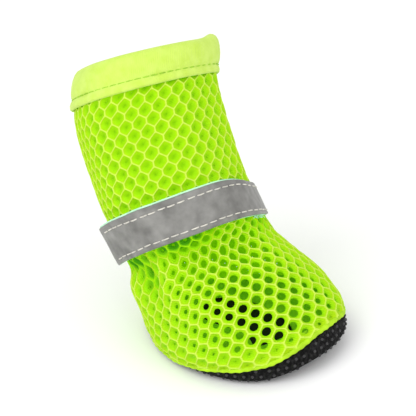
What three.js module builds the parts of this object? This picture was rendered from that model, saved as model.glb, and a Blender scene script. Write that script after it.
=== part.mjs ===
// A slack mesh dog boot, standing empty on its sole.
// Millimetres. +X points to the toe, +Y to the boot's left, +Z up.
// The origin lies on the floor under the middle of the foot.
import * as THREE from 'three';

// ---------------------------------------------------------------- driving dimensions
const UPPER_WALL = 1.4; // knitted mesh, its ribs and spacer yarns
const SOLE_WALL = 1.6; // rubber-dotted fabric
const INSOLE_THICKNESS = 1.2;
const STRAP_THICKNESS = 1.2; // reflective tape sewn onto hook tape
const TAPE_THICKNESS = 0.9; // one leg of the folded binding
const GAP = 0.3; // clearance between neighbouring pieces

const STEPS_AROUND = 48;
const FULL_TURN = 360;

// Cross-sections of the last, from the sole seam up to the rim of the shaft.
// pitch lifts a section's front, roll lifts its right side, both in degrees,
// and egg makes the front of a section broader than its back.
const SECTIONS = [
  { name: 'seam', x: 4.3, y: -1.2, z: 4.2, pitch: 3.5, roll: 0, halfLength: 36, halfWidth: 28, egg: 0.15 },
  { name: 'toe', x: 2.8, y: -1.2, z: 9, pitch: 6.5, roll: 0, halfLength: 35.7, halfWidth: 30.5, egg: 0.15 },
  { name: 'belly', x: 0.2, y: -1.4, z: 14.5, pitch: 7.5, roll: 2, halfLength: 33.8, halfWidth: 30.5, egg: 0.11 },
  { name: 'instep', x: -5.7, y: -1.9, z: 23, pitch: 14, roll: 6.5, halfLength: 29, halfWidth: 28.5, egg: 0.05 },
  { name: 'ankle', x: -10.5, y: -1, z: 29.8, pitch: 25, roll: 11, halfLength: 24.8, halfWidth: 26.2, egg: 0 },
  { name: 'strap', x: -15.3, y: -1.1, z: 40, pitch: 29, roll: 12.5, halfLength: 24.3, halfWidth: 26, egg: 0 },
  { name: 'calf', x: -20.7, y: -2.5, z: 55, pitch: 27, roll: 11.5, halfLength: 24.6, halfWidth: 26, egg: 0 },
  { name: 'shaft', x: -31, y: 2.4, z: 76, pitch: 26, roll: 15, halfLength: 24.2, halfWidth: 27, egg: 0 },
  { name: 'rim', x: -34.5, y: 10.4, z: 90.5, pitch: 24.5, roll: 16, halfLength: 21, halfWidth: 26, egg: 0 },
];
const RIM_ROW = SECTIONS.length - 1;

// Soft troughs (depth below 0) and ridges (above 0) in the slack mesh.
// angle is measured round the boot from the toe towards its left side, row counts
// sections up from the seam, and width (degrees) and spread (rows) are half-sizes.
const CREASES = [
  { name: 'hollow under the strap', angle: -35, row: 3.8, depth: -3, width: 45, spread: 0.5 },
  { name: 'heel trough', angle: -97, row: 3.4, depth: -3.5, width: 13, spread: 0.8 },
  { name: 'vamp puff', angle: -20, row: 2.8, depth: 1.5, width: 45, spread: 0.7 },
  { name: 'flat right side of the heel', angle: -130, row: 1.6, depth: -1.2, width: 24, spread: 1.5 },
  { name: 'mesh sagging over the sole', angle: -108, row: 0.7, depth: 0.8, width: 32, spread: 0.7 },
  { name: 'flat left side of the toe', angle: 50, row: 1.4, depth: -1.2, width: 22, spread: 0.7 },
  { name: 'folded front edge', angle: 34, row: 7, depth: 1.4, width: 15, spread: 1.3 },
  { name: 'flat right side', angle: -35, row: 7.4, depth: -1.2, width: 40, spread: 1.2 },
  { name: 'dent in the shaft', angle: -118, row: 6.6, depth: -1.5, width: 22, spread: 0.9 },
  { name: 'slack left side', angle: 110, row: 6.8, depth: -3, width: 40, spread: 1.4 },
];

// The sole touches the floor inside this outline and turns up to the seam outside it.
const FLOOR_OUTLINE = { x: 3.2, y: -0.4, halfLength: 33, halfWidth: 25, egg: 0.18 };
// From here on to the tip of the toe the sole and inner sole curl up off the floor.
const TOE_CURL = { start: 24, length: 12, lift: 4 };
const PAN_FLOOR_OUTLINE = { x: 3.4, y: -0.4, halfLength: 32.4, halfWidth: 24.4, egg: 0.18 };
// The seam follows the lowest section, and climbs the mesh at the toe, counted in sections.
const SEAM = { least: 0.08, rise: 0.8, angle: -2, width: 34 };
const INSOLE_OUTLINE = { x: 3.4, y: -0.4, halfLength: 31, halfWidth: 23.2, egg: 0.18 };

// Half-profile of the folded binding: how far up the sections, and how far off the
// mesh's outer face. It runs from the lower lip up the outside and down the inside.
const INNER_FACE = -UPPER_WALL - GAP;
const BINDING_PROFILE = [
  { row: 7.25, offset: GAP },
  { row: 7.25, offset: 1.5 },
  { row: 7.31, offset: 1.7 },
  { row: 7.4, offset: 1.2 }, // pinched in by the stitching
  { row: 7.52, offset: 1.8 },
  { row: 7.7, offset: 2.1 },
  { row: 7.87, offset: 1.8 },
  { row: 7.96, offset: 0.9 },
  { row: 8, offset: -0.7 },
  { row: 7.96, offset: -2.1 },
  { row: 7.87, offset: INNER_FACE - TAPE_THICKNESS },
  { row: 7.6, offset: INNER_FACE - TAPE_THICKNESS },
  { row: 7.3, offset: INNER_FACE - TAPE_THICKNESS },
  { row: 7.3, offset: INNER_FACE },
  { row: 7.6, offset: INNER_FACE },
  { row: 7.93, offset: INNER_FACE },
  { row: 7.93, offset: GAP },
  { row: 7.6, offset: GAP },
];
const SEAM_GAP_ROWS = 0.08; // the gap over the sole's rim, counted in sections
const UPPER_TOP_ROW = 7.91;
const UPPER_ROW_STEPS = 26;

// The strap is wound clockwise round the ankle, laps over its own start and ends free.
const STRAP = {
  lowerRow: 4.43,
  upperRow: 5.47,
  highAngle: -50, // it rides up a little on this side
  rise: 0.15,
  dipAngle: 40, // and droops on this one, its upper edge most
  dipWidth: 30,
  lowerDip: 0.1,
  upperDip: 0.24,
  startAngle: -60,
  leavesAt: 400, // degrees of winding before the free end lifts off
  stepsAround: 60,
  stepsAcross: 4,
  rampStart: 296, // where it begins to climb onto its first layer
  rampEnd: 350,
  freeLength: 10.5,
  freeRadius: 60, // the free end is springier than the ankle is round, and sags as much
  freeSteps: 5,
};

// ---------------------------------------------------------------- the last as a surface
const radians = THREE.MathUtils.degToRad;

/** Catmull-Rom value of one column of the section table at a fractional row. */
function sectionValue(key, row) {
  const lower = Math.min(Math.floor(row), RIM_ROW - 1);
  const t = row - lower;
  const at = (i) => {
    if (i < 0) return 2 * SECTIONS[0][key] - SECTIONS[1][key];
    if (i > RIM_ROW) return 2 * SECTIONS[RIM_ROW][key] - SECTIONS[RIM_ROW - 1][key];
    return SECTIONS[i][key];
  };
  const [a, b, c, d] = [at(lower - 1), at(lower), at(lower + 1), at(lower + 2)];
  return b + 0.5 * t * (c - a + t * (2 * a - 5 * b + 4 * c - d + t * (3 * (b - c) + d - a)));
}

/** Bell curve round the boot: 1 at its middle angle, 1 / e at its width from there. */
function bell(angle, middle, width) {
  const turn = THREE.MathUtils.euclideanModulo(angle - middle + FULL_TURN / 2, FULL_TURN) - FULL_TURN / 2;
  return Math.exp(-((turn / width) ** 2));
}

/** Sum of the bell-shaped creases at an angle and row. */
function creaseDepth(angle, row) {
  let depth = 0;
  for (const crease of CREASES) {
    const fade = Math.exp(-(((row - crease.row) / crease.spread) ** 2));
    depth += crease.depth * bell(angle, crease.angle, crease.width) * fade;
  }
  return depth;
}

/** Point of the mesh's outer face: an egg-shaped ring, tilted by its pitch and roll. */
function facePoint(angle, row) {
  const depth = creaseDepth(angle, row);
  const pitch = radians(sectionValue('pitch', row));
  const roll = radians(sectionValue('roll', row));
  const cos = Math.cos(radians(angle));
  const sin = Math.sin(radians(angle));
  const along = (sectionValue('halfLength', row) + depth) * cos;
  const across = (sectionValue('halfWidth', row) + depth) * sin * (1 + sectionValue('egg', row) * cos);
  return new THREE.Vector3(
    sectionValue('x', row) + along * Math.cos(pitch),
    sectionValue('y', row) + across * Math.cos(roll),
    sectionValue('z', row) + along * Math.sin(pitch) - across * Math.sin(roll),
  );
}

/** Outward unit normal of the face, from small steps round and up the boot. */
function faceNormal(angle, row) {
  const angleStep = 1;
  const rowStep = 0.04;
  const round = facePoint(angle + angleStep, row).sub(facePoint(angle - angleStep, row));
  const low = facePoint(angle, Math.max(row - rowStep, 0));
  const up = facePoint(angle, Math.min(row + rowStep, RIM_ROW)).sub(low);
  return round.cross(up).normalize();
}

/** Point at a distance off the outer face: above 0 outside it, below 0 inside. */
function offsetPoint(angle, row, offset) {
  return facePoint(angle, row).addScaledVector(faceNormal(angle, row), offset);
}

// ---------------------------------------------------------------- closed meshes from rings
const angles = Array.from({ length: STEPS_AROUND }, (_, i) => (i * FULL_TURN) / STEPS_AROUND);

/** Triangles between consecutive rings; ring k + 1 lies above or outside ring k. */
function bandTriangles(ringCount, ringLength, closedRings, closedBand) {
  const index = [];
  const bands = closedBand ? ringCount : ringCount - 1;
  const sides = closedRings ? ringLength : ringLength - 1;
  for (let k = 0; k < bands; k += 1) {
    for (let i = 0; i < sides; i += 1) {
      const next = (i + 1) % ringLength;
      const low = k * ringLength;
      const high = ((k + 1) % ringCount) * ringLength;
      index.push(low + i, low + next, high + next);
      index.push(low + i, high + next, high + i);
    }
  }
  return index;
}

/** A mesh geometry from points and triangles. */
function geometryOf(points, index) {
  const geometry = new THREE.BufferGeometry().setFromPoints(points);
  geometry.setIndex(index);
  geometry.computeVertexNormals();
  return geometry;
}

/** A hoop whose section is a closed loop, carried round the boot. */
function hoop(rings) {
  return geometryOf(rings.flat(), bandTriangles(rings.length, rings[0].length, true, true));
}

/** A dish: rings from the middle of the underside out, over the edge, to the middle above. */
function dish(rings) {
  const length = rings[0].length;
  const points = rings.flat();
  const index = bandTriangles(rings.length, length, true, false);
  const middle = (ring) => ring.reduce((sum, p) => sum.add(p), new THREE.Vector3()).divideScalar(length);
  const under = points.push(middle(rings[0])) - 1;
  const above = points.push(middle(rings[rings.length - 1])) - 1;
  const last = (rings.length - 1) * length;
  for (let i = 0; i < length; i += 1) {
    const next = (i + 1) % length;
    index.push(under, next, i);
    index.push(above, last + i, last + next);
  }
  return geometryOf(points, index);
}

/** A tape through sections that go up its outer face and back down its inner face. */
function tape(sections) {
  const corners = sections[0].length;
  const last = (sections.length - 1) * corners;
  const index = bandTriangles(sections.length, corners, true, false);
  for (let low = 0; low < corners / 2 - 1; low += 1) {
    const opposite = corners - 1 - low;
    const [a, b, c, d] = [low, low + 1, opposite - 1, opposite];
    index.push(a, c, b, a, d, c);
    index.push(last + a, last + b, last + c, last + a, last + c, last + d);
  }
  return geometryOf(sections.flat(), index);
}

// ---------------------------------------------------------------- the pieces
/** How far up the sections the sole reaches at an angle. */
function seamRow(angle) {
  return SEAM.least + SEAM.rise * bell(angle, SEAM.angle, SEAM.width);
}

/** Hollow mesh sock, open at the collar and underneath. */
function upperGeometry() {
  const shares = Array.from({ length: UPPER_ROW_STEPS + 1 }, (_, k) => k / UPPER_ROW_STEPS);
  const ring = (share, offset) =>
    angles.map((angle) => {
      const bottom = seamRow(angle) + SEAM_GAP_ROWS;
      return offsetPoint(angle, THREE.MathUtils.lerp(bottom, UPPER_TOP_ROW, share), offset);
    });
  const outside = shares.map((share) => ring(share, 0));
  const inside = shares.map((share) => ring(share, -UPPER_WALL));
  return hoop([...outside, ...inside.reverse()]);
}

/** Ring of an egg-shaped outline at one height, curling up at the toe. */
function outlineRing(outline, height, share = 1) {
  return angles.map((angle) => {
    const cos = Math.cos(radians(angle));
    const sin = Math.sin(radians(angle));
    const x = outline.x + share * outline.halfLength * cos;
    const y = outline.y + share * outline.halfWidth * sin * (1 + outline.egg * cos);
    const curl = Math.max(0, (x - TOE_CURL.start) / TOE_CURL.length);
    return new THREE.Vector3(x, y, height + TOE_CURL.lift * curl ** 2);
  });
}

/** Quarter-round rings that turn up from a flat outline to a rim. */
function turnUp(flatRing, rimRing, steps) {
  return Array.from({ length: steps }, (_, k) => {
    const turn = (Math.PI / 2) * ((k + 1) / steps);
    return flatRing.map((flat, i) => {
      const rim = rimRing[i];
      const out = Math.sin(turn);
      return new THREE.Vector3(
        flat.x + (rim.x - flat.x) * out,
        flat.y + (rim.y - flat.y) * out,
        flat.z + (rim.z - flat.z) * (1 - Math.cos(turn)),
      );
    });
  });
}

/** Shallow fabric pan: flat under heel and forefoot, turned up highest at the toe. */
function soleGeometry() {
  const wall = (share, offset) => angles.map((angle) => offsetPoint(angle, share * seamRow(angle), offset));
  const floor = outlineRing(FLOOR_OUTLINE, 0);
  const panFloor = outlineRing(PAN_FLOOR_OUTLINE, SOLE_WALL);
  const shares = [0.5, 0.65, 0.85];
  return dish([
    ...shares.map((share) => outlineRing(FLOOR_OUTLINE, 0, share)),
    floor,
    ...turnUp(floor, wall(0, 0), 4),
    wall(0.5, 0),
    wall(1, 0),
    wall(1, -SOLE_WALL),
    wall(0.5, -SOLE_WALL),
    ...turnUp(panFloor, wall(0, -SOLE_WALL), 3).reverse(),
    panFloor,
    ...shares.map((share) => outlineRing(PAN_FLOOR_OUTLINE, SOLE_WALL, share)).reverse(),
  ]);
}

/** Thin inner sole, lying in the pan and curling up with it. */
function insoleGeometry() {
  const low = SOLE_WALL + GAP;
  const high = low + INSOLE_THICKNESS;
  const shares = [0.5, 0.65, 0.85, 0.98];
  return dish([
    ...shares.map((share) => outlineRing(INSOLE_OUTLINE, low, share)),
    outlineRing(INSOLE_OUTLINE, (low + high) / 2),
    ...shares.map((share) => outlineRing(INSOLE_OUTLINE, high, share)).reverse(),
  ]);
}

/** Folded tape that grips the rim of the shaft from both sides. */
function bindingGeometry() {
  const ring = ({ row, offset }) => angles.map((angle) => offsetPoint(angle, row, offset));
  return hoop(BINDING_PROFILE.map(ring));
}

/** Inner-face distance of the strap off the mesh after some degrees of winding. */
function strapLift(winding) {
  const climb = THREE.MathUtils.smoothstep(winding, STRAP.rampStart, STRAP.rampEnd);
  return GAP + climb * (STRAP_THICKNESS + GAP + 0.1);
}

/** The strap's section after some degrees of winding: up its outer face, down its inner. */
function strapSection(winding) {
  const angle = STRAP.startAngle - winding;
  const rise = STRAP.rise * Math.cos(radians(angle - STRAP.highAngle));
  const dip = bell(angle, STRAP.dipAngle, STRAP.dipWidth);
  const lower = STRAP.lowerRow + rise - dip * STRAP.lowerDip;
  const upper = STRAP.upperRow + rise - dip * STRAP.upperDip;
  const lift = strapLift(winding);
  const across = Array.from({ length: STRAP.stepsAcross + 1 }, (_, k) =>
    THREE.MathUtils.lerp(lower, upper, k / STRAP.stepsAcross),
  );
  const outer = across.map((row) => offsetPoint(angle, row, lift + STRAP_THICKNESS));
  const inner = across.map((row) => offsetPoint(angle, row, lift));
  return [...outer, ...inner.reverse()];
}

/** Tape wound round the ankle; its free end runs on, nearly straight, past the heel. */
function strapGeometry() {
  const sections = Array.from({ length: STRAP.stepsAround + 1 }, (_, k) =>
    strapSection((STRAP.leavesAt * k) / STRAP.stepsAround),
  );
  const leaving = sections[STRAP.stepsAround];
  const before = strapSection(STRAP.leavesAt - 1);
  const middle = Math.floor(STRAP.stepsAcross / 2);
  const ahead = leaving[middle].clone().sub(before[middle]).normalize();
  const out = faceNormal(STRAP.startAngle - STRAP.leavesAt, STRAP.lowerRow + 0.5);
  for (let k = 1; k <= STRAP.freeSteps; k += 1) {
    const run = (STRAP.freeLength * k) / STRAP.freeSteps;
    const bend = (run * run) / (2 * STRAP.freeRadius);
    const shift = ahead.clone().multiplyScalar(run).addScaledVector(out, -bend);
    shift.z -= bend;
    sections.push(leaving.map((corner) => corner.clone().add(shift)));
  }
  return tape(sections);
}

// ---------------------------------------------------------------- the boot
/** One named piece with its own plain finish. */
function piece(name, geometry, color, roughness) {
  const material = new THREE.MeshStandardMaterial({ color, roughness, metalness: 0 });
  const mesh = new THREE.Mesh(geometry, material);
  mesh.name = name;
  return mesh;
}

const boot = new THREE.Group();
boot.add(piece('upper', upperGeometry(), 0xa4ee14, 0.8));
boot.add(piece('sole', soleGeometry(), 0x161616, 0.7));
boot.add(piece('insole', insoleGeometry(), 0x101010, 0.9));
boot.add(piece('collar_binding', bindingGeometry(), 0xcdfa55, 0.75));
boot.add(piece('strap', strapGeometry(), 0x8c8688, 0.45));

export default boot;
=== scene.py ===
# %% [markdown]
# # A mesh dog boot
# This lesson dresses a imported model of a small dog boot: a slack sock of honeycomb mesh,
# a folded binding round its rim, a reflective strap round the ankle, and a black sole of
# grip fabric. The solids say where everything is. Here they get the real mesh with real
# holes, the stitches, the tapes and the finishes. All shapes are worked out with numpy
# from a few sizes, so one surface, the last of the boot, guides every piece.

# %% Load the frame
import math

import bpy
import numpy as np
from mathutils import Matrix, Vector


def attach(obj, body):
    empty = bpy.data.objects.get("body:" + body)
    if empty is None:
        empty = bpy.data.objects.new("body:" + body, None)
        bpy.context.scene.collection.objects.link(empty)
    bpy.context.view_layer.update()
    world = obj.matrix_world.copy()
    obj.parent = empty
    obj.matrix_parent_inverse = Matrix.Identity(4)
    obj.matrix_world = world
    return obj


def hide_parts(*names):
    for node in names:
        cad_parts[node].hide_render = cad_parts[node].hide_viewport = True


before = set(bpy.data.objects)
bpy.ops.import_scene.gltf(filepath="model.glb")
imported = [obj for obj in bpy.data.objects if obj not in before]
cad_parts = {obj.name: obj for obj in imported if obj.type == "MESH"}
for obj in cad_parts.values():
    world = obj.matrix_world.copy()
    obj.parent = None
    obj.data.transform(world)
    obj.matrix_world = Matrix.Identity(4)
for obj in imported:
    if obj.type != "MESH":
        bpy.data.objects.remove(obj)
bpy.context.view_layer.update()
MM = 0.001
print("solids:", sorted(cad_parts))

# %% [markdown]
# ## The last
# A last is the form that a shoe is made on. Ours is a stack of egg-shaped rings, one row
# of the table each, from the seam at the sole to the rim of the shaft. It could also be
# sculpted, but a table keeps the outline in a few sizes that can be read and changed.
# Between rows every size follows a Catmull-Rom curve, which passes through each row.

# %% The section table
# Millimetres and degrees: middle x, y, z, front lifted, right side lifted,
# half length, half width, and how much broader the front is than the back.
LAST = np.array([
    # x,     y,    z,   pitch, roll, half length, half width, egg
    [4.3,  -1.2,  4.2,  3.5,  0.0, 36.0, 28.0, 0.15],   # seam
    [2.8,  -1.2,  9.0,  6.5,  0.0, 35.7, 30.5, 0.15],   # toe
    [0.2,  -1.4, 14.5,  7.5,  2.0, 33.8, 30.5, 0.11],   # belly
    [-5.7, -1.9, 23.0, 14.0,  6.5, 29.0, 28.5, 0.05],   # instep
    [-10.5, -1.0, 29.8, 25.0, 11.0, 24.8, 26.2, 0.0],   # ankle
    [-15.3, -1.1, 40.0, 29.0, 12.5, 24.3, 26.0, 0.0],   # strap
    [-20.7, -2.5, 55.0, 27.0, 11.5, 24.6, 26.0, 0.0],   # calf
    [-31.0, 2.4, 76.0, 26.0, 15.0, 24.2, 27.0, 0.0],    # shaft
    [-34.5, 10.4, 90.5, 24.5, 16.0, 21.0, 26.0, 0.0],   # rim
])
RIM_ROW = len(LAST) - 1


def between_rows(row):
    """All eight sizes at fractional rows: the Catmull-Rom mix of the four nearest rows."""
    row = np.asarray(row, float)
    low = np.clip(np.floor(row), 0, RIM_ROW - 1).astype(int)
    t = (row - low)[..., None]
    ends = np.concatenate([[2 * LAST[0] - LAST[1]], LAST, [2 * LAST[-1] - LAST[-2]]])
    a, b, c, d = ends[low], ends[low + 1], ends[low + 2], ends[low + 3]
    return b + 0.5 * t * (c - a + t * (2 * a - 5 * b + 4 * c - d + t * (3 * (b - c) + d - a)))


# %% [markdown]
# ## Creases
# Slack cloth doesn't follow a last: it folds where the strap pulls it in and puffs out
# below. A cloth simulation could find folds of its own, but these have to lie where this
# boot has them, so each is placed as a soft bell-shaped trough or ridge. The first
# table is shared with the solids, and the second holds small wrinkles that they leave out.

# %% The crease tables
# angle round the boot from the toe to its left side, row, depth in mm, half width in
# degrees, half height in rows
MAIN_CREASES = np.array([
    [-35.0, 3.8, -3.0, 45.0, 0.5],    # hollow under the strap
    [-97.0, 3.4, -3.5, 13.0, 0.8],    # trough beside the heel
    [-20.0, 2.8, 1.5, 45.0, 0.7],     # puffed vamp
    [-130.0, 1.6, -1.2, 24.0, 1.5],   # flat right side of the heel
    [-108.0, 0.7, 0.8, 32.0, 0.7],    # mesh sagging over the sole
    [50.0, 1.4, -1.2, 22.0, 0.7],     # flat left side of the toe
    [34.0, 7.0, 1.4, 15.0, 1.3],      # folded front edge of the shaft
    [-35.0, 7.4, -1.2, 40.0, 1.2],    # flat right side
    [-118.0, 6.6, -1.5, 22.0, 0.9],   # dent in the shaft
    [110.0, 6.8, -3.0, 40.0, 1.4],    # slack left side
])
SMALL_CREASES = np.array([
    [-82.0, 3.5, 1.2, 7.0, 0.6],
    [-60.0, 3.75, -1.0, 9.0, 0.35],
    [-14.0, 3.75, -1.2, 10.0, 0.35],
    [8.0, 3.6, 1.0, 8.0, 0.4],
    [-128.0, 3.3, 0.3, 9.0, 0.7],
    [150.0, 3.4, -1.5, 12.0, 0.6],
    [60.0, 3.5, -1.4, 12.0, 0.6],
    [100.0, 3.4, 1.2, 14.0, 0.6],
    [-116.0, 4.1, -2.2, 14.0, 0.3],
    [-60.0, 4.15, -1.8, 20.0, 0.25],
    [-75.0, 6.1, -0.8, 9.0, 0.5],
    [-20.0, 6.3, 0.7, 12.0, 0.6],
    [180.0, 6.4, -1.2, 14.0, 0.6],
])
print("creases:", len(MAIN_CREASES), "main and", len(SMALL_CREASES), "small")

# %% [markdown]
# ## The face of the boot
# The rings and the creases together give the mesh's outer face as a function of an angle
# and a row, and its slopes give the way out of the cloth. Every later piece is placed as
# so many millimetres outside or inside that face, so that pieces lie on each other as
# layers of cloth do. The small wrinkles fade to nothing where the strap and the binding
# hold the mesh.

# %% Points on the face and off it
HELD_BY_STRAP = (4.95, 0.55, 0.25)     # middle row, half height, and how softly it ends
HELD_BY_BINDING = (7.2, 0.3)           # lowest row, and how softly it ends
ROW_STEP = 0.04                        # rows to look up and down for the normal


def bell(angle, middle, width):
    """exp(-(turn / width)^2), the turn being the shorter way round from the middle."""
    turn = (angle - middle + 180.0) % 360.0 - 180.0
    return np.exp(-((turn / width) ** 2))


def bells(table, angle, row):
    """Sum over the table of depth times a bell in angle times exp(-(rows away / height)^2)."""
    total = np.zeros(np.broadcast(angle, row).shape)
    for at_angle, at_row, depth, width, height in table:
        total += depth * bell(angle, at_angle, width) * np.exp(-((row - at_row) / height) ** 2)
    return total


def free_share(row):
    """1 where the mesh hangs free, 0 under the strap and under the binding."""
    middle, reach, fade = HELD_BY_STRAP
    strap = np.exp(-np.maximum(np.abs(row - middle) - reach, 0) / fade)
    start, fade = HELD_BY_BINDING
    binding = np.exp(-np.maximum(start - row, 0) / fade)
    return np.clip(1 - strap - binding, 0, 1)


def last_face(angle, row):
    """Points of the mesh's outer face in mm: an egg-shaped ring, creased, then tilted.

    Along the boot: half length times cos(angle). Across it: half width times sin(angle),
    times 1 + egg * cos(angle). The pitch and roll then lift the ring's front and right.
    """
    angle, row = np.broadcast_arrays(np.asarray(angle, float), np.asarray(row, float))
    x, y, z, pitch, roll, length, width, egg = np.moveaxis(between_rows(row), -1, 0)
    depth = bells(MAIN_CREASES, angle, row) + bells(SMALL_CREASES, angle, row) * free_share(row)
    turn, pitch, roll = np.radians(angle), np.radians(pitch), np.radians(roll)
    along = (length + depth) * np.cos(turn)
    across = (width + depth) * np.sin(turn) * (1 + egg * np.cos(turn))
    return np.stack([
        x + along * np.cos(pitch),
        y + across * np.cos(roll),
        z + along * np.sin(pitch) - across * np.sin(roll),
    ], -1)


def last_normal(angle, row):
    """Outward unit normals: the cross product of a small step round and a small step up."""
    low = np.asarray(row) - ROW_STEP
    high = np.minimum(np.asarray(row) + ROW_STEP, RIM_ROW)
    around = last_face(angle + 1.0, row) - last_face(angle - 1.0, row)
    up = last_face(angle, high) - last_face(angle, low)
    normal = np.cross(around, up)
    return normal / np.linalg.norm(normal, axis=-1, keepdims=True)


def off_last(angle, row, offset):
    """Points at an offset in mm off the outer face, above 0 outside and below 0 inside."""
    return last_face(angle, row) + last_normal(angle, row) * np.asarray(offset)[..., None]


rim = last_face(np.arange(0, 360, 5.0), RIM_ROW)
print("rim is", round(float(np.ptp(rim[:, 0])), 1), "mm long")

# %% [markdown]
# ## From arrays to meshes
# Most pieces are bands: rings of points, one ring after another, with faces between them.
# One helper turns such a grid into a mesh, with a UV map in millimetres of cloth, so that a
# weave keeps its real size. It could be done with bmesh, a vertex at a time, but whole
# arrays are shorter and much faster.

# %% Helpers for grids
def add_mesh(name, points_mm, faces, corner_uv=None):
    """A mesh object from points in mm and faces, with a UV for each face corner."""
    mesh = bpy.data.meshes.new(name)
    mesh.from_pydata(np.asarray(points_mm) * MM, [], faces)
    if corner_uv is not None:
        layer = mesh.uv_layers.new(name="Cloth")
        layer.data.foreach_set("uv", np.asarray(corner_uv, np.float32).ravel())
    mesh.polygons.foreach_set("use_smooth", np.ones(len(mesh.polygons), bool))
    mesh.update()
    piece = bpy.data.objects.new(name, mesh)
    bpy.context.scene.collection.objects.link(piece)
    return piece


def grid_faces(rows, columns, rows_close=False):
    """Quads of a grid, each as four (row, column) pairs that may run one past the end."""
    r = np.arange(rows if rows_close else rows - 1)
    r, c = (a.ravel() for a in np.meshgrid(r, np.arange(columns), indexing="ij"))
    return np.stack([np.stack([r, c], -1), np.stack([r, c + 1], -1),
                     np.stack([r + 1, c + 1], -1), np.stack([r + 1, c], -1)], 1)


def add_grid(name, grid, size_mm, rows_close=False, caps=False):
    """A piece from a (rows, columns, 3) grid. size_mm is the cloth's (round, along) size.

    Columns always close, so each row is a ring. Rows close too, as in a hoop, or they may
    be capped: each end ring is filled towards its middle.
    """
    rows, columns = grid.shape[:2]
    pairs = grid_faces(rows, columns, rows_close)
    faces = (pairs[..., 0] % rows) * columns + pairs[..., 1] % columns
    uv = pairs[..., ::-1] / [columns, rows] * size_mm
    points, faces, uv = grid.reshape(-1, 3), faces.tolist(), uv.reshape(-1, 2)
    if caps:
        ends = [grid[0].mean(0), grid[-1].mean(0)]
        c = np.arange(columns)
        n, last = rows * columns, (rows - 1) * columns
        ahead = (c + 1) % columns
        faces += np.stack([np.full(columns, n), ahead, c], -1).tolist()
        faces += np.stack([np.full(columns, n + 1), last + c, last + ahead], -1).tolist()
        points = np.concatenate([points, ends])
        uv = np.concatenate([uv, np.zeros((columns * 6, 2))])
    return add_mesh(name, points, faces, uv)


def finish_piece(piece, material, node=None):
    """Gives a piece its material and slot, hangs it on the root body and hides the solid it stands
    for.
    """
    piece.data.materials.append(material)
    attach(piece, "root")
    if node:
        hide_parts(node)
    print(f"{piece.name}: {len(piece.data.polygons)} faces")
    return piece


# %% [markdown]
# ## Finishes
# Each finish is a short node material. Patterns read the piece's own UV map, in
# millimetres of cloth, or Object coordinates, so they stay put from every side. The
# helpers below make the nodes that most finishes share: noise for a change of tone, waves
# for the ribs of a weave, a colour ramp, and bump of a real depth.

# %% Material helpers
def new_material(name, color, roughness):
    """A Principled material, its node tree and its shader."""
    material = bpy.data.materials.new(name)
    material.use_nodes = True
    tree = material.node_tree
    shader = tree.nodes["Principled BSDF"]
    shader.inputs["Base Color"].default_value = (*color, 1)
    shader.inputs["Roughness"].default_value = roughness
    shader.inputs["Specular IOR Level"].default_value = 0.3
    return material, tree, shader


def object_noise(tree, scale, detail=3.0):
    """Noise on Object coordinates; scale is in cells per metre."""
    place = tree.nodes.new("ShaderNodeTexCoord")
    noise = tree.nodes.new("ShaderNodeTexNoise")
    noise.inputs["Scale"].default_value = scale
    noise.inputs["Detail"].default_value = detail
    tree.links.new(place.outputs["Object"], noise.inputs["Vector"])
    return noise.outputs["Fac"]


def cloth_wave(tree, pitch_mm, direction="X"):
    """Parallel ribs of a pitch in mm of cloth, along one direction of the UV map."""
    place = tree.nodes.new("ShaderNodeUVMap")
    place.uv_map = "Cloth"
    wave = tree.nodes.new("ShaderNodeTexWave")
    wave.bands_direction = direction
    wave.inputs["Scale"].default_value = math.pi / (10 * pitch_mm)
    wave.inputs["Distortion"].default_value = 0.6
    wave.inputs["Detail Scale"].default_value = 2.0
    tree.links.new(place.outputs["UV"], wave.inputs["Vector"])
    return wave.outputs["Fac"]


def ramp(tree, factor, stops):
    """Colours along a factor: stops are (position, (r, g, b))."""
    node = tree.nodes.new("ShaderNodeValToRGB")
    elements = node.color_ramp.elements
    for element, (position, color) in zip(elements, stops[:2]):
        element.position, element.color = position, (*color, 1)
    for position, color in stops[2:]:
        elements.new(position).color = (*color, 1)
    tree.links.new(factor, node.inputs["Fac"])
    return node.outputs["Color"]


def add_bump(tree, shader, height, depth_mm):
    """Bump of a real depth on the shader's normal; a second call builds on the first."""
    bump = tree.nodes.new("ShaderNodeBump")
    bump.inputs["Distance"].default_value = depth_mm * MM
    bump.inputs["Strength"].default_value = 1.0
    tree.links.new(height, bump.inputs["Height"])
    links = shader.inputs["Normal"].links
    if links:
        tree.links.new(links[0].from_socket, bump.inputs["Normal"])
    tree.links.new(bump.outputs["Normal"], shader.inputs["Normal"])
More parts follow.
